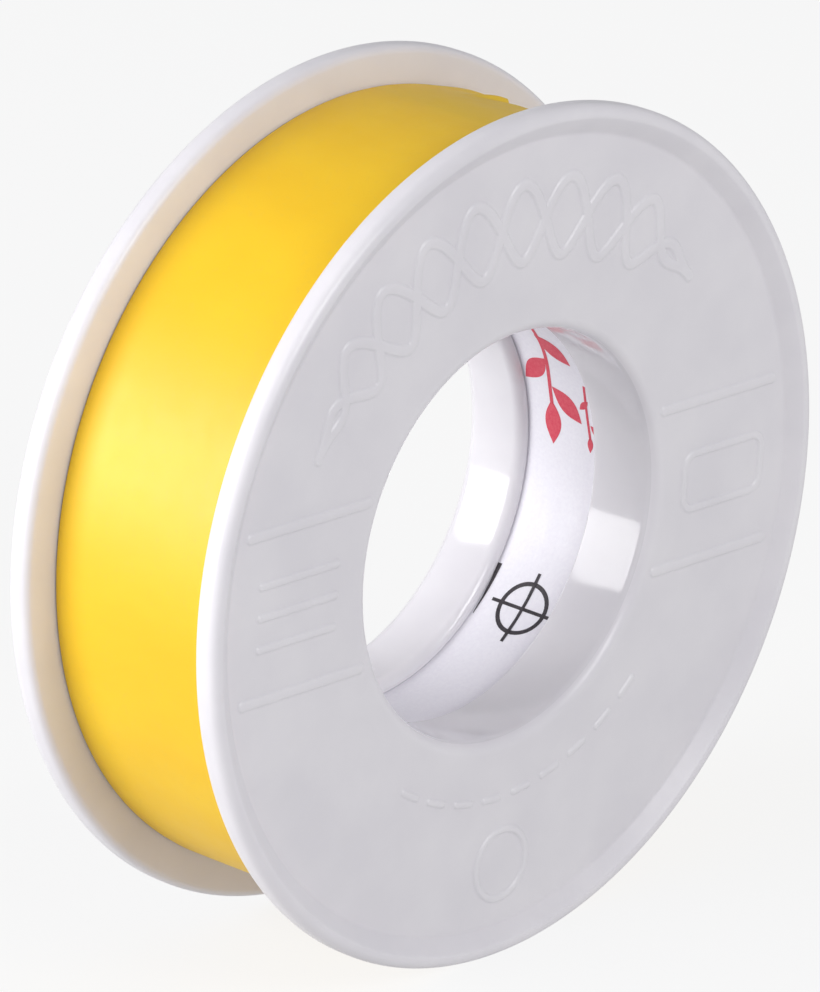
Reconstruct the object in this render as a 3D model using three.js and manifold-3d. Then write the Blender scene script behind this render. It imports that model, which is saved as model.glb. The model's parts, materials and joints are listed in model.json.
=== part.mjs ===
// A roll of electrical tape on a plastic spool that comes apart: two side discs, each with a short
// collar pushed into a cardboard core, a printed paper liner inside the core, the wound tape, and
// the last few millimetres of tape, which lift as its free end.
// Millimetres, +Z up. The origin is the middle of the roll, the spool's axis is Y, and the roll
// stands on its two rims.
import * as THREE from "three";
import { mergeVertices } from "three/addons/utils/BufferGeometryUtils.js";
import Module from "manifold-3d";

// Driving dimensions
const TAPE_WIDTH = 15;
const TAPE_THICKNESS = 0.15;
const TAPE_RADIUS = 27.4; // of the outermost layer, at the free end
const RIM_RADIUS = 30;
const RIM_HALF_WIDTH = 9.46; // from the middle of the roll to the crown of a rim
const SIDE_PLAY = 0.23; // between the tape and a side disc
const WEB_THICKNESS = 0.9; // of a side disc inside its rim
const BORE_RADIUS = 14.35;
const COLLAR_WALL = 0.85;
const FRONT_COLLAR_END = 3.05; // from the middle of the roll to the front collar's end
const REAR_COLLAR_END = 3.7;
const COLLAR_CLEARANCE = 0.1; // between a collar and the liner, all round
const LINER_THICKNESS = 0.12;
const LINER_GAP = 0.08;
const CORE_WALL = 1.1;
const CORE_GAP = 0.1; // between the core and the tape wound on it

// The raised rim of a side disc
const RIM_FOOT_RADIUS = 27.9; // where the rim's inner slope leaves the web
const CROWN_INNER_RADIUS = 28.75; // the crown is a flat ring
const CROWN_OUTER_RADIUS = 29.2;
const RIM_INNER_CORNER = 0.3; // corner radius on the tape's side
const BORE_ROUNDING = 1.0; // corner radius where the bore meets the outside
const COLLAR_CHAMFER = 0.2;

// Four thin raised bars on the outside of a side disc, two at each side of the bore
const BAR_OFFSET = 5.8; // from the line through the centre to a bar
const BAR_TILT = THREE.MathUtils.degToRad(4.7); // clockwise, seen from outside
const BAR_WIDTH = 0.85;
const BAR_HEIGHT = 0.14;
const BAR_SINK = 0.2; // the part of a bar inside the web
const BAR_INNER_RADIUS = 15.5;
const BAR_OUTER_RADIUS = 27.6;

// The free end of the tape
const FREE_EDGE_ANGLE = 57; // degrees from +X towards +Z
const FREE_LENGTH_STEPS = 5; // the free end is this many sides of the wound tape long
const FREE_END_GAP = 0.03; // between the free end and the layer below it
const ROOT_GAP = 0.1; // between the free end's root and the rest of its own layer

const DISC_SIDES = 40; // of a side disc: flat enough for the roll to stand still on a table
const SIDES = 72; // of every other round shape
const CORNER_STEPS = 3;

const SIDE_DISC_INSIDE = TAPE_WIDTH / 2 + SIDE_PLAY;
const WEB_OUTSIDE = SIDE_DISC_INSIDE + WEB_THICKNESS;
const COLLAR_RADIUS = BORE_RADIUS + COLLAR_WALL;
const LINER_RADIUS = COLLAR_RADIUS + COLLAR_CLEARANCE;
const CORE_INNER_RADIUS = LINER_RADIUS + LINER_THICKNESS + LINER_GAP;
const CORE_RADIUS = CORE_INNER_RADIUS + CORE_WALL;
const WOUND_INNER_RADIUS = CORE_RADIUS + CORE_GAP;
const RIM_OUTER_CORNER = RIM_RADIUS - CROWN_OUTER_RADIUS;

const wasm = await Module();
wasm.setup();

// Points on an arc of a profile, in (radius, distance along the axis), angles in degrees.
function arc(centreRadius, centreAlong, radius, from, to) {
  const points = [];
  for (let step = 0; step <= CORNER_STEPS; step++) {
    const angle = THREE.MathUtils.degToRad(from + ((to - from) * step) / CORNER_STEPS);
    points.push(
      new THREE.Vector2(
        centreRadius + radius * Math.cos(angle),
        centreAlong + radius * Math.sin(angle),
      ),
    );
  }
  return points;
}

// A body turned about Y from a closed profile. One of its sides lies flat at the bottom.
function turned(profile, sides) {
  return new THREE.LatheGeometry([...profile, profile[0]], sides, Math.PI / sides);
}

function ring(innerRadius, outerRadius, width) {
  const profile = [
    new THREE.Vector2(innerRadius, -width / 2),
    new THREE.Vector2(outerRadius, -width / 2),
    new THREE.Vector2(outerRadius, width / 2),
    new THREE.Vector2(innerRadius, width / 2),
  ];
  return turned(profile, SIDES);
}

function solidFrom(geometry) {
  const bare = geometry.clone();
  bare.deleteAttribute("normal");
  bare.deleteAttribute("uv");
  const merged = mergeVertices(bare, 1e-4);
  return new wasm.Manifold(
    new wasm.Mesh({
      numProp: 3,
      vertProperties: merged.attributes.position.array,
      triVerts: new Uint32Array(merged.index.array),
    }),
  );
}

function geometryFrom(solid) {
  const mesh = solid.getMesh();
  const geometry = new THREE.BufferGeometry();
  geometry.setAttribute("position", new THREE.BufferAttribute(mesh.vertProperties, 3));
  geometry.setIndex(new THREE.BufferAttribute(mesh.triVerts, 1));
  geometry.computeVertexNormals();
  return geometry;
}

// The section of a side disc: collar, web and raised rim, with its outside towards +Y.
function sideDiscProfile(collarEnd) {
  const rimInnerCorner = arc(
    RIM_RADIUS - RIM_INNER_CORNER,
    SIDE_DISC_INSIDE + RIM_INNER_CORNER,
    RIM_INNER_CORNER,
    -90,
    0,
  );
  const rimOuterCorner = arc(
    CROWN_OUTER_RADIUS,
    RIM_HALF_WIDTH - RIM_OUTER_CORNER,
    RIM_OUTER_CORNER,
    0,
    90,
  );
  const boreCorner = arc(
    BORE_RADIUS + BORE_ROUNDING,
    WEB_OUTSIDE - BORE_ROUNDING,
    BORE_ROUNDING,
    90,
    180,
  );
  return [
    new THREE.Vector2(BORE_RADIUS, collarEnd),
    new THREE.Vector2(COLLAR_RADIUS - COLLAR_CHAMFER, collarEnd),
    new THREE.Vector2(COLLAR_RADIUS, collarEnd + COLLAR_CHAMFER),
    new THREE.Vector2(COLLAR_RADIUS, SIDE_DISC_INSIDE),
    ...rimInnerCorner,
    ...rimOuterCorner,
    new THREE.Vector2(CROWN_INNER_RADIUS, RIM_HALF_WIDTH),
    new THREE.Vector2(RIM_FOOT_RADIUS, WEB_OUTSIDE),
    ...boreCorner,
  ];
}

// One raised bar. side is 1 or -1, and above is 1 over the centre line or -1 under it.
function raisedBar(side, above) {
  const from = Math.sqrt(BAR_INNER_RADIUS ** 2 - BAR_OFFSET ** 2);
  const to = Math.sqrt(BAR_OUTER_RADIUS ** 2 - BAR_OFFSET ** 2);
  const bar = new THREE.BoxGeometry(to - from, BAR_HEIGHT + BAR_SINK, BAR_WIDTH);
  bar.translate(
    (side * (from + to)) / 2,
    WEB_OUTSIDE + (BAR_HEIGHT - BAR_SINK) / 2,
    above * BAR_OFFSET,
  );
  bar.rotateY(-BAR_TILT);
  return bar;
}

function sideDisc(collarEnd) {
  let disc = solidFrom(turned(sideDiscProfile(collarEnd), DISC_SIDES));
  for (const side of [-1, 1]) {
    for (const above of [-1, 1]) {
      disc = disc.add(solidFrom(raisedBar(side, above)));
    }
  }
  return geometryFrom(disc);
}

// A point on the tape's spiral. steps counts the sides back from the free edge, towards +Z from +X,
// and the spiral loses one tape thickness in a full turn.
function spiralPoint(steps, inset) {
  const angle = THREE.MathUtils.degToRad(FREE_EDGE_ANGLE + (steps * 360) / SIDES);
  const radius = TAPE_RADIUS - (TAPE_THICKNESS * steps) / SIDES - inset;
  return new THREE.Vector2(radius * Math.cos(angle), radius * Math.sin(angle));
}

// A shape drawn in X and Z, made as wide as the tape along Y.
function tapeWide(shape) {
  const geometry = new THREE.ExtrudeGeometry(shape, {
    depth: TAPE_WIDTH,
    bevelEnabled: false,
  });
  geometry.translate(0, 0, -TAPE_WIDTH / 2);
  geometry.rotateX(Math.PI / 2);
  return geometry;
}

// All the tape but its free end: one turn of the spiral outside, closed by the step at the root.
function woundTape() {
  const outside = [];
  for (let steps = FREE_LENGTH_STEPS; steps <= SIDES + FREE_LENGTH_STEPS; steps++) {
    outside.push(spiralPoint(steps, 0));
  }
  const shape = new THREE.Shape(outside);
  const inside = [];
  for (let side = 0; side < SIDES; side++) {
    const angle = (side / SIDES) * 2 * Math.PI;
    inside.push(
      new THREE.Vector2(
        WOUND_INNER_RADIUS * Math.cos(angle),
        WOUND_INNER_RADIUS * Math.sin(angle),
      ),
    );
  }
  shape.holes.push(new THREE.Path(inside));
  return tapeWide(shape);
}

// The free end: the outermost layer from its root to the cut edge.
function tapeEnd() {
  const rootSteps = FREE_LENGTH_STEPS - (ROOT_GAP / TAPE_RADIUS) * (SIDES / (2 * Math.PI));
  const outer = [];
  const inner = [];
  for (let steps = 0; steps < FREE_LENGTH_STEPS; steps++) {
    outer.push(spiralPoint(steps, 0));
    inner.push(spiralPoint(steps, TAPE_THICKNESS - FREE_END_GAP));
  }
  outer.push(spiralPoint(rootSteps, 0));
  inner.push(spiralPoint(rootSteps, TAPE_THICKNESS - FREE_END_GAP));
  return tapeWide(new THREE.Shape([...outer, ...inner.reverse()]));
}

const whitePlastic = { color: 0xe6e6ea, roughness: 0.38, metalness: 0 };
const cardboard = { color: 0xb99a72, roughness: 0.9, metalness: 0 };
const printedPaper = { color: 0xf1eff6, roughness: 0.45, metalness: 0 };
const yellowPvc = { color: 0xf7cf33, roughness: 0.4, metalness: 0 };

function piece(name, geometry, finish) {
  const mesh = new THREE.Mesh(geometry, new THREE.MeshStandardMaterial(finish));
  mesh.name = name;
  return mesh;
}

const rearFlange = piece("rear_flange", sideDisc(REAR_COLLAR_END), whitePlastic);
const frontFlange = piece("front_flange", sideDisc(FRONT_COLLAR_END), whitePlastic);
frontFlange.rotation.z = Math.PI;

const spool = new THREE.Group();
spool.add(rearFlange, frontFlange);
spool.add(piece("core_tube", ring(CORE_INNER_RADIUS, CORE_RADIUS, TAPE_WIDTH), cardboard));
spool.add(
  piece("core_liner", ring(LINER_RADIUS, LINER_RADIUS + LINER_THICKNESS, TAPE_WIDTH), printedPaper),
);

const tape = new THREE.Group();
tape.add(piece("wound_tape", woundTape(), yellowPvc));
tape.add(piece("tape_end", tapeEnd(), yellowPvc));

const tapeRoll = new THREE.Group();
tapeRoll.add(spool, tape);

export default tapeRoll;
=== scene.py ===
"""A roll of yellow electrical tape on a white plastic spool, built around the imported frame."""
import json
import math
import random

import bmesh
import bpy
import numpy
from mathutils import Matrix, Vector
from mathutils.geometry import delaunay_2d_cdt

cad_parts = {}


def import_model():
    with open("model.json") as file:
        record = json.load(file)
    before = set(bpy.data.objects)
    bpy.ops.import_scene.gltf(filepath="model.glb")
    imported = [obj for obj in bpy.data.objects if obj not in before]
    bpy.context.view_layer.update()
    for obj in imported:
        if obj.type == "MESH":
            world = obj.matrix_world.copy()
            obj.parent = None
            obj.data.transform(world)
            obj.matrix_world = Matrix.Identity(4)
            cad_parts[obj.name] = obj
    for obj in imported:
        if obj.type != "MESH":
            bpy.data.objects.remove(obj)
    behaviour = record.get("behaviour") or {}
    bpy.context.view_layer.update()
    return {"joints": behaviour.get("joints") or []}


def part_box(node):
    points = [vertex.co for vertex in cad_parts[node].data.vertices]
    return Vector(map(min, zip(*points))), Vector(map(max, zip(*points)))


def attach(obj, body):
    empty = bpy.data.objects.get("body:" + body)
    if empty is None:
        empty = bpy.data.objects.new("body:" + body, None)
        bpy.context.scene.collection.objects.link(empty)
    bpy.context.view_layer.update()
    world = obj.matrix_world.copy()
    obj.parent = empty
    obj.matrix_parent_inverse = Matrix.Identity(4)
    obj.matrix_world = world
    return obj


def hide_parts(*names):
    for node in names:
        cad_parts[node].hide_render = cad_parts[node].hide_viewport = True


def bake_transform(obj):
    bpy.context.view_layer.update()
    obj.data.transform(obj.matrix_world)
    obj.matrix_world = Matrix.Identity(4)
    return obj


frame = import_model()

MM = 0.001
TAU = 2 * math.pi

# What the frame says, in millimetres. The CAD's round shapes have flat sides, and its box holds
# the distance to a flat side: less than the radius, which is the distance to a corner.
CAD_DISC_SIDES = 40
CAD_SIDES = 72


def millimetres(node):
    """The corners of a CAD node's box."""
    low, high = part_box(node)
    return low / MM, high / MM


def corner_radius(to_flat, sides):
    """The radius of a many-sided round shape, from the distance to one of its sides."""
    return to_flat / math.cos(math.pi / sides)


FRONT_HIGH = millimetres("front_flange")[1]
REAR_LOW, REAR_HIGH = millimetres("rear_flange")
TAPE_HIGH = millimetres("wound_tape")[1]
END_LOW, END_HIGH = millimetres("tape_end")
CORE_HIGH = millimetres("core_tube")[1]
LINER_HIGH = millimetres("core_liner")[1]
PEEL_JOINT = next(joint for joint in frame["joints"] if joint["name"] == "tape_end_peel")

RIM_RADIUS = corner_radius(FRONT_HIGH.z, CAD_DISC_SIDES)
RIM_HALF_WIDTH = REAR_HIGH.y
FRONT_COLLAR_END = -FRONT_HIGH.y
REAR_COLLAR_END = REAR_LOW.y
TAPE_HALF_WIDTH = TAPE_HIGH.y
CORE_RADIUS = corner_radius(CORE_HIGH.z, CAD_SIDES)
LINER_OUTER_RADIUS = corner_radius(LINER_HIGH.z, CAD_SIDES)

# Side disc
SIDE_PLAY = 0.07
WEB_THICKNESS = 1.06
BORE_RADIUS = 14.35
COLLAR_WALL = 0.92
COLLAR_RADIUS = BORE_RADIUS + COLLAR_WALL
COLLAR_LEAD_IN = 0.05
COLLAR_FILLET = 0.15  # where the collar leaves the web
FRONT_COLLAR_ROUNDING = 0.15  # corner radius at a collar's end, on the bore's side
REAR_COLLAR_ROUNDING = 0.75
RIM_FOOT_RADIUS = 27.73
RIM_FOOT_FILLET = 0.5
RIM_SLOPE = 35  # degrees between the web and the rim's inner slope
CROWN_RADIUS = 29.2
CROWN_ROUNDING = 0.4
RIM_INNER_CORNER = 0.6
RIM_OUTER_CORNER = 0.75
BORE_ROUNDING = 0.9
BORE_EDGE = BORE_RADIUS + BORE_ROUNDING
POLISHED_DEPTH = 0.8  # faces less than this outside the bore's radius are polished
DISC_INSIDE = TAPE_HALF_WIDTH + SIDE_PLAY
WEB_OUTSIDE = DISC_INSIDE + WEB_THICKNESS

# Core, liner and tape
LINER_THICKNESS = 0.12
CORE_WALL = 1.1
CORE_GAP = 0.1  # between the core and the tape wound on it
TAPE_THICKNESS = 0.15
WOUND_INNER_RADIUS = CORE_RADIUS + CORE_GAP
LINER_INNER_RADIUS = LINER_OUTER_RADIUS - LINER_THICKNESS
PEEL_PIVOT = Vector(PEEL_JOINT["pos_m"]) / MM
ROOT_ANGLE = math.atan2(PEEL_PIVOT.z, PEEL_PIVOT.x)
FREE_EDGE_ANGLE = math.atan2(END_LOW.z, END_HIGH.x)
TAPE_RADIUS = Vector((PEEL_PIVOT.x, PEEL_PIVOT.z)).length

ROUND = 288  # segments of the large round shapes
JOINED = 0.0000005  # metres: points closer than this are one point


# ---------------------------------------------------------------- mesh helpers


def add_object(name, vertices, faces, materials, indices=None, sharp_degrees=35):
    """A smooth-shaded mesh object from points in millimetres. Points at one place are joined."""
    mesh = bpy.data.meshes.new(name)
    mesh.from_pydata([Vector(v) * MM for v in vertices], [], faces)
    for material in materials:
        mesh.materials.append(material)
    if indices:
        mesh.polygons.foreach_set("material_index", indices)
    work = bmesh.new()
    work.from_mesh(mesh)
    bmesh.ops.remove_doubles(work, verts=work.verts, dist=JOINED)
    bmesh.ops.recalc_face_normals(work, faces=work.faces)
    work.to_mesh(mesh)
    work.free()
    mesh.shade_smooth()
    mesh.set_sharp_from_angle(angle=math.radians(sharp_degrees))
    piece = bpy.data.objects.new(name, mesh)
    bpy.context.scene.collection.objects.link(piece)
    return piece


def arc(centre_radius, centre_along, radius, start, end, steps=8):
    """Points of a profile on an arc, as (radius, distance along the axis). Angles in degrees."""
    points = []
    for step in range(steps + 1):
        angle = math.radians(start + (end - start) * step / steps)
        points.append(
            (centre_radius + radius * math.cos(angle), centre_along + radius * math.sin(angle))
        )
    return points


def turned(profile, outward=1, segments=ROUND):
    """Points and faces of a closed profile turned about Y. outward is -1 to face -Y."""
    vertices = []
    for step in range(segments):
        angle = TAU * step / segments
        for radius, along in profile:
            vertices.append(
                (radius * math.cos(angle), outward * along, radius * math.sin(angle))
            )
    return vertices, strips(segments, len(profile), closed=True)


def strips(rows, count, closed):
    """Faces between neighbouring rows of count points each. Every row goes round to its start,
    and closed rows follow each other round to the first row too."""
    faces = []
    for row in range(rows if closed else rows - 1):
        here, after = row * count, (row + 1) % rows * count
        for k in range(count):
            follow = (k + 1) % count
            faces.append((here + k, here + follow, after + follow, after + k))
    return faces


def smooth(value):
    """An S-shaped step from 0 to 1 as the value goes from 0 to 1."""
    value = min(1.0, max(0.0, value))
    return value * value * (3 - 2 * value)


# ---------------------------------------------------------------- materials


class Nodes:
    """A material's node tree, with short calls for the nodes used here."""

    def __init__(self, name):
        self.material = bpy.data.materials.new(name)
        self.material.use_nodes = True
        self.tree = self.material.node_tree
        self.shader = self.tree.nodes["Principled BSDF"]
        coordinates = self.tree.nodes.new("ShaderNodeTexCoord")
        self.place = coordinates.outputs["Object"]

    def link(self, output, socket):
        self.tree.links.new(output, socket)

    def set(self, **values):
        """Constant values on the shader's own sockets."""
        for key, value in values.items():
            self.shader.inputs[key.replace("_", " ")].default_value = value

    def noise(self, scale, detail=3.0, roughness=0.5, place=None):
        """A noise texture's value. The scale is in waves a metre, as it is for cells."""
        node = self.tree.nodes.new("ShaderNodeTexNoise")
        node.inputs["Scale"].default_value = scale
        node.inputs["Detail"].default_value = detail
        node.inputs["Roughness"].default_value = roughness
        self.link(place or self.place, node.inputs["Vector"])
        return node.outputs["Fac"]

    def stretched(self, x, y, z):
        """The object's coordinates with each axis scaled."""
        node = self.tree.nodes.new("ShaderNodeMapping")
        node.inputs["Scale"].default_value = (x, y, z)
        self.link(self.place, node.inputs["Vector"])
        return node.outputs["Vector"]

    def cells(self, scale):
        """A cell texture, for its distances and its colours."""
        node = self.tree.nodes.new("ShaderNodeTexVoronoi")
        node.inputs["Scale"].default_value = scale
        self.link(self.place, node.inputs["Vector"])
        return node

    def spread(self, value, low, high, to_low=0.0, to_high=1.0):
        """The value's stretch from low to high, spread over another range and cut off there."""
        node = self.tree.nodes.new("ShaderNodeMapRange")
        node.inputs["From Min"].default_value = low
        node.inputs["From Max"].default_value = high
        node.inputs["To Min"].default_value = to_low
        node.inputs["To Max"].default_value = to_high
        self.link(value, node.inputs["Value"])
        return node.outputs["Result"]

    def times(self, first, second):
        node = self.tree.nodes.new("ShaderNodeMath")
        node.operation = "MULTIPLY"
        self.link(first, node.inputs[0])
        self.link(second, node.inputs[1])
        return node.outputs["Value"]

    def blended(self, factor, first, second):
        """A colour between two colours or sockets."""
        node = self.tree.nodes.new("ShaderNodeMix")
        node.data_type = "RGBA"
        self.link(factor, node.inputs[0])
        for socket, colour in ((node.inputs[6], first), (node.inputs[7], second)):
            if isinstance(colour, tuple):
                socket.default_value = (*colour, 1)
            else:
                self.link(colour, socket)
        return node.outputs[2]

    def bump(self, height, distance, strength=1.0, under=None):
        """A surface normal that follows a height. The distance is in metres."""
        node = self.tree.nodes.new("ShaderNodeBump")
        node.inputs["Distance"].default_value = distance
        node.inputs["Strength"].default_value = strength
        self.link(height, node.inputs["Height"])
        if under:
            self.link(under, node.inputs["Normal"])
        return node.outputs["Normal"]

    def finish(self, colour=None, roughness=None, normal=None):
        """Joins the outputs to the shader and hands back the material."""
        for output, socket in (
            (colour, "Base Color"),
            (roughness, "Roughness"),
            (normal, "Normal"),
        ):
            if output:
                self.link(output, self.shader.inputs[socket])
        return self.material


def specks(nodes, scale, size, share):
    """A mask that is 1 on small round specks: a share of the cells has one."""
    cells = nodes.cells(scale)
    near = nodes.spread(cells.outputs["Distance"], size, size * 0.6)
    picked = nodes.spread(cells.outputs["Color"], 1 - share, 1 - share * 0.98)
    return nodes.times(near, picked)


def white_plastic(name, dark, light, low_roughness, high_roughness):
    """Injection-moulded white plastic: faint flow mottling, rare specks, fine mould grain."""
    nodes = Nodes(name)
    mottle = nodes.noise(160, detail=4)
    colour = nodes.blended(nodes.spread(mottle, 0.35, 0.65), dark, light)
    colour = nodes.blended(specks(nodes, 170, 0.012, 0.008), colour, (0.42, 0.40, 0.38))
    roughness = nodes.spread(nodes.noise(900), 0.3, 0.7, low_roughness, high_roughness)
    grain = nodes.bump(nodes.noise(3600, detail=2), 0.0000015)
    normal = nodes.bump(nodes.noise(260, detail=1), 0.000006, under=grain)
    nodes.set(Subsurface_Weight=0.45, Subsurface_Scale=0.0009, IOR=1.49)
    nodes.set(Subsurface_Radius=(1.0, 1.0, 1.0))
    return nodes.finish(colour, roughness, normal)


def yellow_pvc():
    """Satin calendered PVC: slight colour drift, fine grain, soft winding waves, rare dust."""
    nodes = Nodes("tape_pvc")
    drift = nodes.noise(110, detail=3, place=nodes.stretched(1, 0.5, 1))
    colour = nodes.blended(
        nodes.spread(drift, 0.35, 0.65), (0.88, 0.53, 0.008), (0.925, 0.585, 0.013)
    )
    mottle = nodes.noise(2600, detail=4, roughness=0.6)
    colour = nodes.blended(nodes.spread(mottle, 0.55, 0.9), colour, (0.86, 0.54, 0.03))
    colour = nodes.blended(specks(nodes, 210, 0.02, 0.06), colour, (0.95, 0.85, 0.55))
    roughness = nodes.spread(nodes.noise(700, detail=4), 0.3, 0.7, 0.41, 0.47)
    grain = nodes.bump(nodes.noise(6500, detail=3), 0.000004)
    normal = nodes.bump(nodes.noise(300, detail=2), 0.000003, under=grain)
    nodes.set(Subsurface_Weight=0.12, Subsurface_Scale=0.0006, IOR=1.52)
    nodes.set(Subsurface_Radius=(1.0, 0.7, 0.2))
    return nodes.finish(colour, roughness, normal)


def tape_side():
    """The cut edges of the layers: duller, with a slow drift in tone."""
    nodes = Nodes("tape_side")
    drift = nodes.noise(900, detail=4)
    colour = nodes.blended(
        nodes.spread(drift, 0.3, 0.7), (0.78, 0.46, 0.02), (0.90, 0.57, 0.03)
    )
    roughness = nodes.spread(nodes.noise(2500), 0.3, 0.7, 0.5, 0.7)
    return nodes.finish(colour, roughness, nodes.bump(nodes.noise(5000, detail=3), 0.00001))


def adhesive():
    """The tape's sticky side: glossier and paler, with a stringy grain."""
    nodes = Nodes("tape_adhesive")
    grain = nodes.noise(2400, detail=5, place=nodes.stretched(1, 0.25, 1))
    colour = nodes.blended(
        nodes.spread(grain, 0.35, 0.7), (0.82, 0.55, 0.06), (0.90, 0.66, 0.14)
    )
    roughness = nodes.spread(grain, 0.3, 0.7, 0.29, 0.38)
    return nodes.finish(colour, roughness, nodes.bump(grain, 0.00002))


def liner_paper():
    """Smooth white printing paper with faint fibres."""
    nodes = Nodes("liner_paper")
    fibres = nodes.noise(3800, detail=5, roughness=0.65)
    colour = nodes.blended(
        nodes.spread(fibres, 0.3, 0.75), (0.80, 0.785, 0.85), (0.86, 0.85, 0.90)
    )
    roughness = nodes.spread(nodes.noise(1200), 0.3, 0.7, 0.36, 0.5)
    nodes.set(IOR=1.45)
    return nodes.finish(colour, roughness, nodes.bump(fibres, 0.000008))


def ink(name, thin, full):
    """Printing ink: even, with a slight paper grain showing through."""
    nodes = Nodes(name)
    grain = nodes.noise(4200, detail=5, roughness=0.7)
    colour = nodes.blended(nodes.spread(grain, 0.25, 0.6), thin, full)
    roughness = nodes.spread(nodes.noise(1500), 0.3, 0.7, 0.34, 0.48)
    return nodes.finish(colour, roughness, nodes.bump(grain, 0.000006))


def cardboard():
    """Brown board with long fibres round the tube."""
    nodes = Nodes("core_cardboard")
    fibres = nodes.noise(1500, detail=6, roughness=0.7, place=nodes.stretched(1, 2.2, 1))
    colour = nodes.blended(
        nodes.spread(fibres, 0.3, 0.7), (0.30, 0.20, 0.12), (0.52, 0.38, 0.24)
    )
    roughness = nodes.spread(fibres, 0.2, 0.8, 0.8, 0.95)
    return nodes.finish(colour, roughness, nodes.bump(fibres, 0.00005))


PLASTIC = white_plastic(
    "flange_plastic", (0.765, 0.745, 0.785), (0.805, 0.785, 0.82), 0.29, 0.34
)
POLISHED = white_plastic(
    "collar_plastic", (0.735, 0.72, 0.755), (0.775, 0.76, 0.79), 0.07, 0.13
)
PVC = yellow_pvc()
TAPE_SIDE = tape_side()
ADHESIVE = adhesive()
PAPER = liner_paper()
RED_INK = ink("ink_red", (0.72, 0.12, 0.16), (0.66, 0.055, 0.095))
BLACK_INK = ink("ink_black", (0.07, 0.06, 0.07), (0.028, 0.024, 0.03))
BOARD = cardboard()


# ---------------------------------------------------------------- side discs


def disc_profile(collar_end, end_rounding):
    """The section of a side disc, from the collar's end round to the bore's rounded edge."""
    points = arc(
        BORE_RADIUS + end_rounding, collar_end + end_rounding, end_rounding, 180, 270, 10
    )
    points.append((COLLAR_RADIUS - COLLAR_LEAD_IN, collar_end))
    points.append((COLLAR_RADIUS, collar_end + COLLAR_LEAD_IN))
    points += arc(
        COLLAR_RADIUS + COLLAR_FILLET, DISC_INSIDE - COLLAR_FILLET, COLLAR_FILLET, 180, 90, 4
    )
    inside_steps = 6
    for step in range(1, inside_steps):
        radius = COLLAR_RADIUS + (RIM_FOOT_RADIUS - BORE_RADIUS) * step / inside_steps
        points.append((radius, DISC_INSIDE))
    points += arc(
        RIM_RADIUS - RIM_INNER_CORNER, DISC_INSIDE + RIM_INNER_CORNER, RIM_INNER_CORNER, -90, 0
    )
    points += arc(
        RIM_RADIUS - RIM_OUTER_CORNER,
        RIM_HALF_WIDTH - RIM_OUTER_CORNER,
        RIM_OUTER_CORNER,
        0,
        90,
        12,
    )
    points += arc(
        CROWN_RADIUS, RIM_HALF_WIDTH - CROWN_ROUNDING, CROWN_ROUNDING, 90, 90 + RIM_SLOPE, 6
    )
    points += arc(
        RIM_FOOT_RADIUS, WEB_OUTSIDE + RIM_FOOT_FILLET, RIM_FOOT_FILLET, RIM_SLOPE - 90, -90, 6
    )
    points += arc(BORE_EDGE, WEB_OUTSIDE - BORE_ROUNDING, BORE_ROUNDING, 90, 180, 12)
    return points


RELIEF_HEIGHT = 0.12
SHOULDER = 0.2  # width of a mark's sloping side
GUARD = 0.06  # width of the flat strips that keep a slope's shading off the web


def across_path(path, closed):
    """The unit vectors square to a path at its points."""
    points = numpy.array(path)
    if closed:
        along = numpy.roll(points, -1, 0) - numpy.roll(points, 1, 0)
    else:
        along = numpy.gradient(points, axis=0)
    along /= numpy.linalg.norm(along, axis=1)[:, None]
    return points, numpy.stack((-along[:, 1], along[:, 0]), 1)


def outlines(path, closed, reach):
    """The closed lines that run round a path at a distance: one with round ends, or two."""
    points, across = across_path(path, closed)
    left, right = points + across * reach, points - across * reach
    if closed:
        return [left, right]
    caps = []
    for end, first in ((-1, across[-1]), (0, -across[0])):
        start = math.atan2(first[1], first[0])
        turns = [start - math.pi * k / 8 for k in range(1, 8)]
        caps.append(points[end] + reach * numpy.array([(math.cos(t), math.sin(t)) for t in turns]))
    return [numpy.concatenate((left, caps[0], right[::-1], caps[1]))]


def distance_to_path(places, path, closed):
    """How far each place is from a path."""
    start = numpy.array(path)
    end = numpy.roll(start, -1, 0)
    if not closed:
        start, end = start[:-1], end[:-1]
    step = end - start
    offset = places[:, None] - start[None]
    share = (offset * step).sum(2) / (step**2).sum(1)
    share = share.clip(0, 1)[:, :, None]
    return numpy.linalg.norm(offset - share * step, axis=2).min(1)


def web_surface():
    """The outside of the web with its raised marks, as points (right, up, rise) and triangles."""
    marks = web_marks()
    rings = [RIM_FOOT_RADIUS, RIM_FOOT_RADIUS - GUARD, BORE_EDGE + GUARD, BORE_EDGE]
    loops = [[polar(radius, 360 * k / ROUND) for k in range(ROUND)] for radius in rings]
    for path, width, closed in marks:
        half = width / 2
        for share in (0.0, 0.25, 0.5, 0.75, 1.0):
            loops += outlines(path, closed, half + SHOULDER * share)
        loops += outlines(path, closed, half + SHOULDER + GUARD)
    points, edges = [], []
    for loop in loops:
        first, count = len(points), len(loop)
        points += [Vector(point) for point in loop]
        edges += [(first + k, first + (k + 1) % count) for k in range(count)]
    flat, _, triangles, *_ = delaunay_2d_cdt(points, edges, [], 0, 1e-5)
    places = numpy.array([tuple(point) for point in flat])
    rise = numpy.zeros(len(places))
    for path, width, closed in marks:
        share = (width / 2 + SHOULDER - distance_to_path(places, path, closed)) / SHOULDER
        share = share.clip(0, 1)
        rise = numpy.maximum(rise, RELIEF_HEIGHT * share * share * (3 - 2 * share))
    inside = numpy.array([places[list(triangle)].mean(0) for triangle in triangles])
    kept = numpy.linalg.norm(inside, axis=1) > BORE_EDGE * math.cos(math.pi / ROUND)
    web = [tuple(triangle) for triangle, keep in zip(triangles, kept) if keep]
    return [(*place, height) for place, height in zip(places.tolist(), rise.tolist())], web


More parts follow.
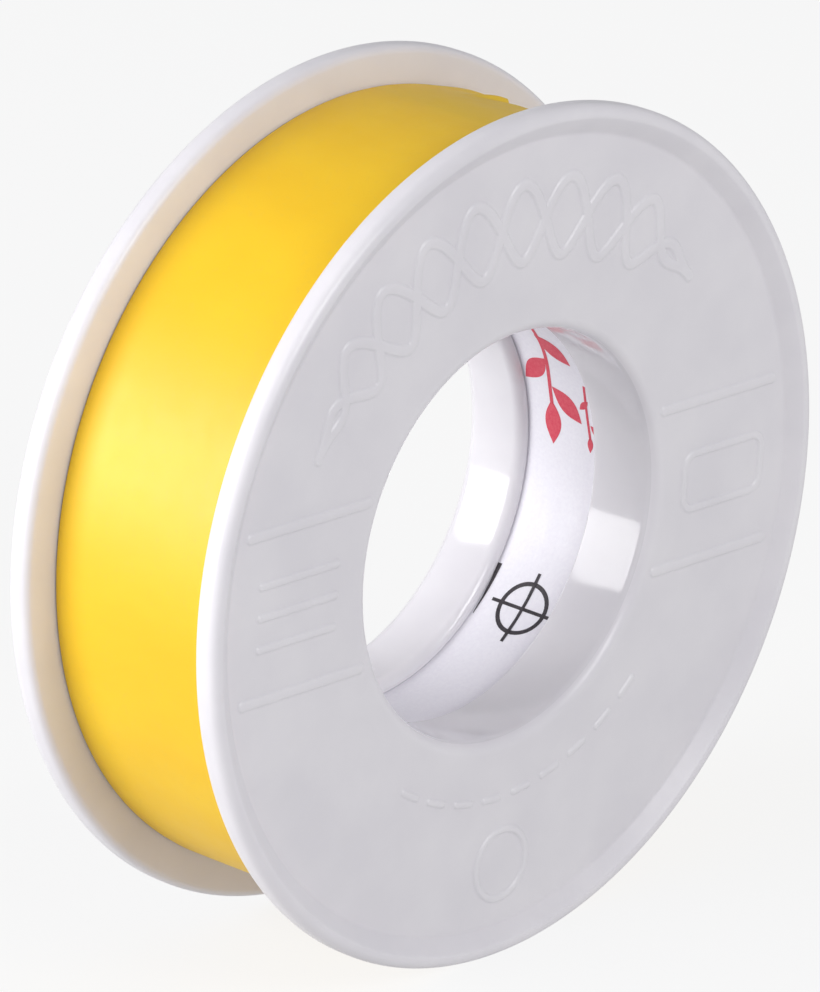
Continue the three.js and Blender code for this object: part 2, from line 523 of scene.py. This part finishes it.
def polar(radius, degrees):
    """A point at a radius and an angle, anticlockwise from the right."""
    angle = math.radians(degrees)
    return radius * math.cos(angle), radius * math.sin(angle)


def straight(start, end, steps=6):
    """A path along a straight line."""
    return [
        (start[0] + (end[0] - start[0]) * k / steps, start[1] + (end[1] - start[1]) * k / steps)
        for k in range(steps + 1)
    ]


def swept(radius, start, end, steps):
    """A path on an arc about the bore, angles in degrees."""
    return [polar(radius, start + (end - start) * k / steps) for k in range(steps + 1)]


BAR_TILT = -4.7  # degrees, anticlockwise seen from outside
BAR_OFFSET = 5.8  # from the line through the centre to a bar
BAR_WIDTH = 0.5
BAR_INNER_RADIUS = 15.9
BAR_OUTER_RADIUS = 26.75
WAVE_RADIUS = 22.3  # of the arc that both waves run along
WAVE_SWING = 2.7
WAVE_START = 38  # degrees anticlockwise from the right, as for the dashes and the ring
WAVE_END = 149
WAVE_COUNT = 5
WAVE_WIDTH = 0.55
FIELD_CENTRE = 21.4  # to the right of the disc's centre
FIELD_WIDTH = 8.0
FIELD_HEIGHT = 4.0
FIELD_CORNER = 1.0
LINE_INNER = 17.6  # to the left of the disc's centre
LINE_OUTER = 24.8
LINE_SPACING = 2.2
LINE_WIDTH = 0.3
DASHES = 9
DASH_RADIUS = 18.6
DASH_START = -126
DASH_PITCH = 9  # degrees, twice the length of a dash
RING_CENTRE_RADIUS = 23.6
RING_CENTRE_ANGLE = -93
RING_RADIUS = 2.5
FINE_WIDTH = 0.25  # of the dashes and the ring


def tilted(right, up):
    """A point on the web turned by the bars' tilt."""
    angle = math.radians(BAR_TILT)
    return (
        right * math.cos(angle) - up * math.sin(angle),
        right * math.sin(angle) + up * math.cos(angle),
    )


def rounded_box(centre_right, centre_up, width, height, corner):
    """A closed path round a box with round corners, tilted as the bars are."""
    path = []
    corners = ((1, 1, 0), (-1, 1, 90), (-1, -1, 180), (1, -1, 270))
    steps = 8
    for side, above, start in corners:
        middle_right = centre_right + side * (width / 2 - corner)
        middle_up = centre_up + above * (height / 2 - corner)
        for step in range(steps + 1):
            right, up = polar(corner, start + 90 * step / steps)
            path.append(tilted(middle_right + right, middle_up + up))
    return path


def wave(middle, swing, start, end, waves, phase):
    """A wavy path on an arc about the bore, dying out at both ends."""
    path = []
    steps = round(waves * 32)
    for step in range(steps + 1):
        share = step / steps
        fade = smooth(share * waves) * smooth((1 - share) * waves)
        radius = middle + swing * fade * math.sin(TAU * waves * share + phase)
        path.append(polar(radius, start + (end - start) * share))
    return path


def web_marks():
    """The raised marks on a disc's outside as (path, width, closed), in (right, up) as seen from
    outside. They are plain shapes: four bars, two crossing waves, a blank field, three lines, a
    row of dashes and a ring."""
    marks = []
    inner = math.sqrt(BAR_INNER_RADIUS**2 - BAR_OFFSET**2)
    outer = math.sqrt(BAR_OUTER_RADIUS**2 - BAR_OFFSET**2)
    for side in (-1, 1):
        for above in (-1, 1):
            start = tilted(side * inner, above * BAR_OFFSET)
            end = tilted(side * outer, above * BAR_OFFSET)
            marks.append((straight(start, end), BAR_WIDTH, False))
    for phase in (0, math.pi):
        path = wave(WAVE_RADIUS, WAVE_SWING, WAVE_START, WAVE_END, WAVE_COUNT, phase)
        marks.append((path, WAVE_WIDTH, False))
    field = rounded_box(FIELD_CENTRE, 0, FIELD_WIDTH, FIELD_HEIGHT, FIELD_CORNER)
    marks.append((field, LINE_WIDTH, True))
    for row in (-LINE_SPACING, 0, LINE_SPACING):
        path = straight(tilted(-LINE_OUTER, row), tilted(-LINE_INNER, row))
        marks.append((path, LINE_WIDTH, False))
    for dash in range(DASHES):
        start = DASH_START + DASH_PITCH * dash
        marks.append((swept(DASH_RADIUS, start, start + DASH_PITCH / 2, 4), FINE_WIDTH, False))
    middle = polar(RING_CENTRE_RADIUS, RING_CENTRE_ANGLE)
    ring = [polar(RING_RADIUS, 10 * k) for k in range(36)]
    path = [(middle[0] + right, middle[1] + up) for right, up in ring]
    marks.append((path, FINE_WIDTH, True))
    return marks


WEB_POINTS, WEB_FACES = web_surface()


def side_disc(name, node, body, outward, collar_end, end_rounding):
    """One side disc. outward is -1 for the front one, whose outside faces -Y, and 1 for the rear."""
    profile = disc_profile(collar_end, end_rounding)
    vertices, faces = turned(profile, outward)
    # The strip of the profile that is the web gives way to the surface with the marks.
    strip = profile.index((RIM_FOOT_RADIUS, WEB_OUTSIDE))
    faces = [face for k, face in enumerate(faces) if k % len(profile) != strip]
    indices = []
    for face in faces:
        radius = sum(math.hypot(vertices[i][0], vertices[i][2]) for i in face) / 4
        along = sum(outward * vertices[i][1] for i in face) / 4
        below_edge = along < WEB_OUTSIDE - 0.5 * BORE_ROUNDING
        in_bore = below_edge and radius < BORE_RADIUS + POLISHED_DEPTH
        indices.append(1 if in_bore else 0)
    start = len(vertices)
    # Seen from outside, the web's right is +X on the -Y side and -X on the +Y side.
    for right, up, rise in WEB_POINTS:
        vertices.append((-outward * right, outward * (WEB_OUTSIDE + rise), up))
    faces += [tuple(start + i for i in face) for face in WEB_FACES]
    indices += [0] * len(WEB_FACES)
    piece = add_object(name, vertices, faces, [PLASTIC, POLISHED], indices)
    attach(piece, body)
    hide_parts(node)


side_disc(
    "rear_side_disc", "rear_flange", "rear_side", 1, REAR_COLLAR_END, REAR_COLLAR_ROUNDING
)
side_disc(
    "front_side_disc", "front_flange", "front_side", -1, FRONT_COLLAR_END, FRONT_COLLAR_ROUNDING
)


# ---------------------------------------------------------------- core and liner


PLIES = 3
PLY_GAP = 0.03  # half the groove between two plies
PLY_BEVEL = 0.05
PLY_STEP = 0.08  # the most that a ply's end is set back
CORE_EDGE = 0.15  # from the core's ends to where its plain wall starts


def core():
    """The cardboard tube, with its plies showing as steps on both ends."""
    inner = CORE_RADIUS - CORE_WALL
    ends = random.Random(4)
    face = []
    for ply in range(PLIES):
        low = inner + CORE_WALL * ply / PLIES + PLY_GAP
        high = inner + CORE_WALL * (ply + 1) / PLIES - PLY_GAP
        proud = TAPE_HALF_WIDTH - ends.uniform(0.0, PLY_STEP)
        face += [(low, proud - PLY_BEVEL), (low + PLY_BEVEL, proud)]
        face += [(high - PLY_BEVEL, proud), (high, proud - PLY_BEVEL)]
    wall = TAPE_HALF_WIDTH - CORE_EDGE
    profile = [(inner, -wall), (inner, wall), *face, (CORE_RADIUS, wall), (CORE_RADIUS, -wall)]
    profile += [(radius, -along) for radius, along in reversed(face)]
    piece = add_object("cardboard_core", *turned(profile), [BOARD])
    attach(piece, "roll")
    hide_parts("core_tube")


LINER_SETBACK = 0.02  # from the core's ends
LINER_BEVEL = (0.03, 0.04)  # outwards and along the axis


def liner():
    """The paper inside the core, with its cut edges eased."""
    half = TAPE_HALF_WIDTH - LINER_SETBACK
    eased_radius = LINER_INNER_RADIUS + LINER_BEVEL[0]
    eased_half = half - LINER_BEVEL[1]
    profile = [
        (eased_radius, -half),
        (LINER_OUTER_RADIUS, -half),
        (LINER_OUTER_RADIUS, half),
        (eased_radius, half),
        (LINER_INNER_RADIUS, eased_half),
        (LINER_INNER_RADIUS, 0.0),
        (LINER_INNER_RADIUS, -eased_half),
    ]
    piece = add_object("printed_liner", *turned(profile), [PAPER])
    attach(piece, "roll")
    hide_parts("core_liner")


INK_FLOOR = 0.006  # of an ink film over the paper
INK_THICKNESS = 0.012


def ink_line(stroke, closed=False):
    """A film of ink along a stroke of (degrees round the bore, along the axis, width) points."""
    radius = LINER_INNER_RADIUS
    flat = [(math.radians(a) * radius, y, w) for a, y, w in stroke]
    count = len(flat)
    vertices = []
    for k, (s, y, width) in enumerate(flat):
        before = flat[k - 1] if closed or k else flat[0]
        after = flat[(k + 1) % count] if closed or k < count - 1 else flat[-1]
        along = Vector((after[0] - before[0], after[1] - before[1])).normalized()
        across = Vector((-along.y, along.x)) * width / 2
        for lift in (INK_FLOOR, INK_FLOOR + INK_THICKNESS):
            for side in (-1, 1):
                angle = (s + side * across.x) / radius
                vertices.append(
                    (
                        (radius - lift) * math.cos(angle),
                        y + side * across.y,
                        (radius - lift) * math.sin(angle),
                    )
                )
    faces = []
    for k in range(count if closed else count - 1):
        a, b = 4 * k, 4 * ((k + 1) % count)
        for i, j in ((0, 1), (1, 3), (3, 2), (2, 0)):
            faces.append((a + i, a + j, b + j, b + i))
    if not closed:
        last = 4 * (count - 1)
        faces += [(0, 1, 3, 2), (last, last + 1, last + 3, last + 2)]
    return vertices, faces


def printed(name, strokes, material):
    """A piece made of ink lines, from (stroke, closed) pairs."""
    vertices, faces = [], []
    for stroke, closed in strokes:
        start = len(vertices)
        points, more = ink_line(stroke, closed)
        vertices += points
        faces += [tuple(start + i for i in face) for face in more]
    piece = add_object(name, vertices, faces, [material])
    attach(piece, "roll")


PER_DEGREE = math.radians(1) * LINER_INNER_RADIUS  # millimetres round the liner
LEAF_LEAN = 46  # degrees between a side leaf and the stem
THINNEST = 0.02  # an ink line's width at a leaf's points


def leaf(degrees, along, lean, length, width):
    """A pointed leaf's stroke. lean is its angle from the way round the bore."""
    right, up = polar(length / 12, lean)
    return [
        (
            degrees + right * k / PER_DEGREE,
            along + up * k,
            max(THINNEST, width * math.sin(math.pi * k / 12)),
        )
        for k in range(13)
    ]


def sprig(top, bottom, along, pitch, length, width):
    """A leafy twig's strokes, from its top down round the bore to the leaf at its tip."""
    steps = 40
    stem = []
    for k in range(steps + 1):
        degrees = top + (bottom - top) * k / steps
        sway = 0.25 * math.sin(math.radians(degrees) * 9)
        stem.append((degrees, along + sway, 0.1 * width + 0.16))
    strokes = [stem, leaf(bottom + 1, stem[-1][1], 180, length, width)]
    count = int((top - bottom) / pitch)
    for k in range(count):
        degrees = bottom + pitch * (k + 0.6)
        side = 1 if k % 2 else -1
        strokes.append(leaf(degrees, along, 180 - LEAF_LEAN * side, length, width))
    return [(stroke, False) for stroke in strokes]


def circle_mark(degrees, along, size, width):
    """A printer's register mark: a ring with a cross through it."""
    ring = []
    steps = 40
    for k in range(steps):
        right, up = polar(size, 360 * k / steps)
        ring.append((degrees + right / PER_DEGREE, along + up, width))
    reach = size * 1.45
    across, upright = [], []
    for share in (-1, -0.3, 0.3, 1):
        across.append((degrees + reach * share / PER_DEGREE, along, width * 0.8))
        upright.append((degrees, along + reach * share, width * 0.8))
    return [(ring, True), (across, False), (upright, False)]


def wedge(degrees, along):
    """A short line round the bore that grows thicker."""
    return [([(degrees + 5 * k, along, 0.1 * k + 0.05) for k in range(4)], False)]


def liner_print():
    """The liner's print: two twigs, a register mark and a line, and all again half a turn away."""
    red, black = [], []
    for shift in (0, 180):
        red += sprig(shift + 66, shift + 9, along=1.2, pitch=9, length=3.3, width=1.45)
        red += sprig(shift + 18, shift + 2, along=-2.0, pitch=7, length=1.2, width=0.5)
        black += circle_mark(shift - 46.5, along=0.0, size=1.9, width=0.32)
        black += wedge(shift - 52, along=3.55)
    printed("liner_print_red", red, RED_INK)
    printed("liner_print_black", black, BLACK_INK)


core()
liner()
liner_print()


# ---------------------------------------------------------------- tape


def spiral_radius(angle):
    """The outermost layer's radius. It loses one thickness in the turn back from the free edge."""
    return TAPE_RADIUS - TAPE_THICKNESS * (angle - FREE_EDGE_ANGLE) / TAU


def ripple(angle, along):
    """Slow unevenness of the wound surface, in millimetres."""
    return (
        0.012 * math.sin(3 * angle + 0.9 + 0.16 * along)
        + 0.008 * math.sin(7 * angle - 0.5 * along)
        + 0.006 * math.sin(0.55 * along + 2 * angle + 1.3)
    )


LAYER_SETBACK = 0.02  # from the tape's half width to the layers that stand out farthest
LAYER_STRAY = 0.03  # how unevenly the layers are set back
LAYER_VALLEY = 0.035  # depth of the valley between two layers
VALLEY_PLACE = 0.015  # of a valley's bottom, from its layer's underside
SPIRAL_FROM = WOUND_INNER_RADIUS + 0.2  # inside this radius the layers are closed rings
EDGE_MARGIN = 0.03  # from the tape's half width to the edge of its outer face
EDGE_DROP = 0.05  # how far the outer face's edges are turned down


def layer_edges(rng, side):
    """The section of one side of the pack: a valley and a crest for each layer but the last."""
    layers = round((TAPE_RADIUS - WOUND_INNER_RADIUS) / TAPE_THICKNESS)
    points = []
    for layer in range(layers):
        radius = WOUND_INNER_RADIUS + TAPE_THICKNESS * layer
        proud = TAPE_HALF_WIDTH - LAYER_SETBACK - abs(rng.gauss(0, LAYER_STRAY))
        points.append((radius + VALLEY_PLACE, side * (proud - LAYER_VALLEY)))
        points.append((radius + 0.5 * TAPE_THICKNESS, side * proud))
    return points[:-2]


def wound_tape():
    """All the tape but its free end. The outside is one turn of the spiral, and each side shows
    the edges of the layers, a little in or out of line."""
    rng = random.Random(11)
    across = 40
    reach = TAPE_HALF_WIDTH - EDGE_MARGIN
    low_side, high_side = layer_edges(rng, -1), layer_edges(rng, 1)
    vertices = []
    for step in range(ROUND + 1):
        angle = ROOT_ANGLE + TAU * step / ROUND
        wound_down = TAPE_THICKNESS * step / ROUND
        row = list(low_side)
        for k in range(across + 1):
            along = -reach + 2 * reach * k / across
            drop = EDGE_DROP if k in (0, across) else 0.0
            row.append((spiral_radius(angle) - drop + ripple(angle, along), along))
        row += reversed(high_side)
        for k, (radius, along) in enumerate(row):
            on_side = k < len(low_side) or k > len(low_side) + across
            if on_side and radius > SPIRAL_FROM:
                radius -= wound_down
            vertices.append((radius * math.cos(angle), along, radius * math.sin(angle)))
    count = len(row)
    faces = strips(ROUND + 1, count, closed=False)
    outside = range(len(low_side), len(low_side) + across)
    indices = [0 if k % count in outside else 1 for k in range(len(faces))]
    for first in (0, ROUND * count):
        faces.append(tuple(range(first, first + count)))
        indices.append(0)
    piece = add_object("tape_pack", vertices, faces, [PVC, TAPE_SIDE], indices)
    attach(piece, "roll")
    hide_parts("wound_tape")


wound_tape()


# Where the torn edge curls up: places along the axis, half-widths and heights
FLAPS = (
    (6.9, 0.7, 0.17),
    (4.6, 0.33, 0.36),
    (2.2, 1.2, 0.13),
    (-3.8, 1.2, 0.16),
    (-6.6, 0.5, 0.2),
)


def flap(along):
    """How far the torn edge curls up at a place along the axis."""
    return max(height * smooth(1.5 - abs(along - place) / half) for place, half, height in FLAPS)


ROOT_OVERLAP = math.radians(1.2)  # how far back over the wound layer the free end starts
ROOT_SHARE = 0.09  # the share of its length where the free end is thin, sunk into the pack
EDGE_SLANT = math.radians(3.3)  # how much sooner the free end stops on the rear disc's side


def torn_edge(across):
    """How far the tape is torn back at each point across it, in millimetres."""
    rng = random.Random(23)
    tear = [0.0]
    for _ in range(across):
        tear.append(0.72 * tear[-1] + rng.gauss(0, 0.16))
    return tear


def stand_off(share, along):
    """How far the free end stands off the pack, at a share of the way from root to edge."""
    film = 0.003 + 0.009 * smooth(share / 0.2)
    loosening = 0.1 * smooth((share - 0.4) / 0.6) ** 1.5
    curl = (0.05 + flap(along)) * smooth((share - 0.55) / 0.45)
    return film + loosening + curl


def tape_end():
    """The free end: it leaves the pack at the root and ends in a torn edge that stands off."""
    start = ROOT_ANGLE + ROOT_OVERLAP
    across, length_steps = 90, 70
    reach = TAPE_HALF_WIDTH - EDGE_MARGIN
    tear = torn_edge(across)
    vertices = []
    for step in range(length_steps + 1):
        share = step / length_steps
        thickness = TAPE_THICKNESS * (0.9 if share > ROOT_SHARE else 0.3)
        upper, lower = [], []
        for k in range(across + 1):
            along = reach - 2 * reach * k / across
            slant = EDGE_SLANT * smooth((along + 1) / 4)
            end = FREE_EDGE_ANGLE + slant - (tear[k] + 0.5 * flap(along)) / TAPE_RADIUS
            angle = start + (end - start) * share
            outer = spiral_radius(angle) + ripple(angle, along) + stand_off(share, along)
            outer -= EDGE_DROP if k in (0, across) else 0.0
            inner = outer - thickness
            upper.append((outer * math.cos(angle), along, outer * math.sin(angle)))
            lower.append((inner * math.cos(angle), along, inner * math.sin(angle)))
        vertices += upper + lower[::-1]
    count = 2 * (across + 1)
    faces = strips(length_steps + 1, count, closed=False)
    sticky = range(across + 1, count - 1)
    indices = [1 if k % count in sticky else 0 for k in range(len(faces))]
    for first in (0, length_steps * count):
        for k in range(across):
            faces.append((first + k, first + k + 1, first + count - 2 - k, first + count - 1 - k))
            indices.append(0)
    piece = add_object("tape_free_end", vertices, faces, [PVC, ADHESIVE], indices, 60)
    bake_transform(piece)
    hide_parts("tape_end")


tape_end()


# ---------------------------------------------------------------- floor, light and camera


FLOOR_SIZE = 6  # metres
FLOOR_GLOW = 0.5  # the strength of the light that the floor gives the object
FLOOR_GLOW_SEEN = 0.84  # its strength as the camera sees it

CAMERA_AZIMUTH = math.radians(-47.55)
CAMERA_ELEVATION = math.radians(22.87)
CAMERA_DISTANCE = 21.158 * RIM_RADIUS * MM
CAMERA_LENS = 341.6  # millimetres, as the sensor's width is
CAMERA_SENSOR = 36
CAMERA_SHIFT = (-0.00886, 0.00835)  # in widths of the picture


def stage_floor():
    """The pale floor that the roll stands on. The camera sees it brighter than the object does."""
    bpy.ops.mesh.primitive_plane_add(size=FLOOR_SIZE, location=(0, 0, -RIM_RADIUS * MM))
    floor = bpy.context.object
    floor.name = "studio_floor"
    material = bpy.data.materials.new("studio_floor")
    material.use_nodes = True
    shader = material.node_tree.nodes["Principled BSDF"]
    shader.inputs["Base Color"].default_value = (0.12, 0.12, 0.12, 1)
    shader.inputs["Roughness"].default_value = 0.9
    shader.inputs["Specular IOR Level"].default_value = 0.0
    shader.inputs["Emission Color"].default_value = (1, 1, 1, 1)
    rays = material.node_tree.nodes.new("ShaderNodeLightPath")
    glow = material.node_tree.nodes.new("ShaderNodeMapRange")
    glow.inputs["To Min"].default_value = FLOOR_GLOW
    glow.inputs["To Max"].default_value = FLOOR_GLOW_SEEN
    material.node_tree.links.new(rays.outputs["Is Camera Ray"], glow.inputs["Value"])
    material.node_tree.links.new(glow.outputs["Result"], shader.inputs["Emission Strength"])
    floor.data.materials.append(material)


def soft_light(name, direction, distance, width, height, power):
    """A rectangular light at a direction and distance from the roll. Metres and watts."""
    data = bpy.data.lights.new(name, "AREA")
    data.shape = "RECTANGLE"
    data.size, data.size_y = width, height
    data.energy = power
    light = bpy.data.objects.new(name, data)
    towards = Vector(direction).normalized()
    light.location = towards * distance
    light.rotation_mode = "QUATERNION"
    light.rotation_quaternion = (-towards).to_track_quat("-Z", "Y")
    bpy.context.scene.collection.objects.link(light)


def world():
    """Even, slightly cool light from all round."""
    surroundings = bpy.data.worlds.new("studio")
    surroundings.use_nodes = True
    background = surroundings.node_tree.nodes["Background"]
    background.inputs["Color"].default_value = (0.96, 0.97, 1.0, 1)
    background.inputs["Strength"].default_value = 0.38
    bpy.context.scene.world = surroundings


def camera():
    """The photograph's camera: it looks at the middle of the roll from the front left and above."""
    back = Vector(
        (
            math.sin(CAMERA_AZIMUTH) * math.cos(CAMERA_ELEVATION),
            -math.cos(CAMERA_AZIMUTH) * math.cos(CAMERA_ELEVATION),
            math.sin(CAMERA_ELEVATION),
        )
    )
    data = bpy.data.cameras.new("camera")
    data.sensor_width = CAMERA_SENSOR
    data.lens = CAMERA_LENS
    data.shift_x, data.shift_y = CAMERA_SHIFT
    data.clip_end = 20
    view = bpy.data.objects.new("camera", data)
    view.location = back * CAMERA_DISTANCE
    view.rotation_mode = "QUATERNION"
    view.rotation_quaternion = (-back).to_track_quat("-Z", "Y")
    bpy.context.scene.collection.objects.link(view)
    bpy.context.scene.camera = view


stage_floor()
soft_light("softbox_left", (-0.90, 0.31, 0.30), 0.6, 0.30, 0.34, 2.3)
soft_light("softbox_behind_left", (-0.72, 0.62, 0.25), 0.6, 0.16, 0.335, 1.05)
soft_light("softbox_front", (-0.22, -0.80, 0.56), 0.8, 0.30, 0.22, 1.3)
soft_light("fill_front", (0.08, -0.88, 0.47), 1.0, 0.42, 0.25, 1.9)
world()
camera()
bpy.context.scene.view_settings.view_transform = "Standard"
